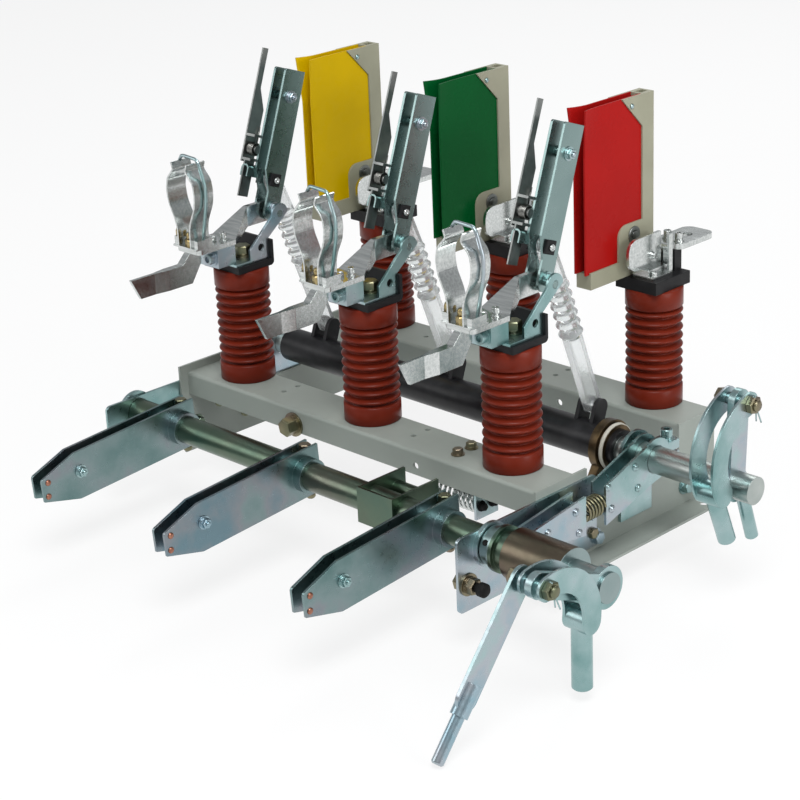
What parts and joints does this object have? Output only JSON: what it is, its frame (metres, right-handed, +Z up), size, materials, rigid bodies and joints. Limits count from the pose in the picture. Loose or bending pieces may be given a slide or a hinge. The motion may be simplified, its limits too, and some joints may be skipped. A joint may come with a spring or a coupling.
{
  "type": "indoor switch-disconnector",
  "caption": "Indoor three-phase switch-disconnector with ribbed insulators, swinging blades, arc chutes, fuse clips and an earthing switch on a sheet-steel frame.",
  "frame": {"origin": "midway between the feet of the two end plates, on the plane they bolt down on", "axes": "+X along the poles towards the driven ends of the shafts, +Y from the front insulators to the rear ones, +Z up the insulators"},
  "size_m": [0.758, 0.6548, 0.5087],
  "materials": {
    "frame_paint": "light grey powder coat",
    "red_epoxy": "cast epoxy resin, semi-gloss",
    "zinc": "bright zinc plate",
    "yellow_zinc": "yellow passivated zinc plate",
    "black_steel": "black paint",
    "tinned_copper": "tinned copper bar",
    "silvered_copper": "silver-plated copper",
    "spring_steel": "plated spring steel",
    "brass_spring": "yellow passivated spring wire",
    "black_moulding": "moulded black plastic",
    "beige_moulding": "moulded beige plastic",
    "clear_rod": "clear moulded polycarbonate",
    "yellow_flap": "yellow moulded sheet",
    "green_flap": "green moulded sheet",
    "red_flap": "red moulded sheet"
  },
  "bodies": {
    "frame": {"front_beam": "frame_paint", "rear_beam": "frame_paint", "left_end_plate": "frame_paint", "right_end_plate": "frame_paint", "left_earthing_bearing_plate": "zinc", "right_earthing_bearing_plate": "zinc", "left_main_bearing": "zinc", "right_main_bearing": "zinc", "front_insulators": "red_epoxy", "rear_insulators": "red_epoxy", "front_pads": "black_moulding", "hinge_brackets": "zinc", "front_terminals": "tinned_copper", "left_fuse_clip": "spring_steel", "middle_fuse_clip": "spring_steel", "right_fuse_clip": "spring_steel", "earth_contacts": "tinned_copper", "rear_contact_bases": "black_moulding", "rear_contacts": "silvered_copper", "rear_terminals": "tinned_copper", "chute_holders": "beige_moulding", "left_chute_flaps": "yellow_flap", "middle_chute_flaps": "green_flap", "right_chute_flaps": "red_flap", "rear_yoke": "zinc", "front_yoke": "zinc", "interlock_spring": "brass_spring", "spring_hanger": "zinc", "return_spring": "spring_steel"},
    "left_blade": {"left_main_blade": "silvered_copper", "left_arcing_blade": "zinc"},
    "left_rod": {"left_pull_rod": "clear_rod"},
    "middle_blade": {"middle_main_blade": "silvered_copper", "middle_arcing_blade": "zinc"},
    "middle_rod": {"middle_pull_rod": "clear_rod"},
    "right_blade": {"right_main_blade": "silvered_copper", "right_arcing_blade": "zinc"},
    "right_rod": {"right_pull_rod": "clear_rod"},
    "main_shaft": {"main_shaft": "black_steel", "main_shaft_cam": "yellow_zinc", "main_shaft_levers": "black_steel", "rear_crank": "zinc"},
    "earthing_shaft": {"earthing_shaft": "zinc", "left_earthing_blade": "zinc", "middle_earthing_blade": "zinc", "right_earthing_blade": "zinc", "spring_lever": "yellow_zinc", "front_crank": "zinc"},
    "rear_link": {"rear_link": "zinc"},
    "front_link": {"front_link": "zinc"},
    "flat_link": {"front_flat_link": "yellow_zinc"}
  },
  "joints": [
    {"name": "main_shaft_turn", "type": "hinge", "parent": "frame", "child": "main_shaft", "pos_m": [0, 0.00775, 0.093], "axis": [-1, 0, 0], "range_deg": [0, 75.6]},
    {"name": "earthing_shaft_turn", "type": "hinge", "parent": "frame", "child": "earthing_shaft", "pos_m": [0, -0.22425, 0.072], "axis": [-1, 0, 0], "range_deg": [0, 80]},
    {"name": "left_blade_hinge", "type": "hinge", "parent": "frame", "child": "left_blade", "pos_m": [-0.21, -0.06525, 0.292], "axis": [-1, 0, 0], "range_deg": [0, 75.6]},
    {"name": "left_rod_pivot", "type": "hinge", "parent": "left_blade", "child": "left_rod", "pos_m": [-0.21, -0.05294, 0.32583], "axis": [-1, 0, 0], "range_deg": [-75.6, 0]},
    {"name": "middle_blade_hinge", "type": "hinge", "parent": "frame", "child": "middle_blade", "pos_m": [0, -0.06525, 0.292], "axis": [-1, 0, 0], "range_deg": [0, 75.6]},
    {"name": "middle_rod_pivot", "type": "hinge", "parent": "middle_blade", "child": "middle_rod", "pos_m": [0, -0.05294, 0.32583], "axis": [-1, 0, 0], "range_deg": [-75.6, 0]},
    {"name": "right_blade_hinge", "type": "hinge", "parent": "frame", "child": "right_blade", "pos_m": [0.21, -0.06525, 0.292], "axis": [-1, 0, 0], "range_deg": [0, 75.6]},
    {"name": "right_rod_pivot", "type": "hinge", "parent": "right_blade", "child": "right_rod", "pos_m": [0.21, -0.05294, 0.32583], "axis": [-1, 0, 0], "range_deg": [-75.6, 0]},
    {"name": "rear_link_pivot", "type": "hinge", "parent": "main_shaft", "child": "rear_link", "pos_m": [0.409, 0.01251, 0.18388], "axis": [-1, 0, 0], "range_deg": [0, 30]},
    {"name": "front_link_pivot", "type": "hinge", "parent": "earthing_shaft", "child": "front_link", "pos_m": [0.4295, -0.32095, 0.11028], "axis": [-1, 0, 0], "range_deg": [0, 30]},
    {"name": "flat_link_pivot", "type": "hinge", "parent": "earthing_shaft", "child": "flat_link", "pos_m": [0.41, -0.32095, 0.11028], "axis": [-1, 0, 0], "range_deg": [-30, 30]}
  ],
  "couplings": [
    {"joint": "left_blade_hinge", "follows": "main_shaft_turn", "ratio": 1},
    {"joint": "left_rod_pivot", "follows": "main_shaft_turn", "ratio": -1},
    {"joint": "middle_blade_hinge", "follows": "main_shaft_turn", "ratio": 1},
    {"joint": "middle_rod_pivot", "follows": "main_shaft_turn", "ratio": -1},
    {"joint": "right_blade_hinge", "follows": "main_shaft_turn", "ratio": 1},
    {"joint": "right_rod_pivot", "follows": "main_shaft_turn", "ratio": -1}
  ]
}
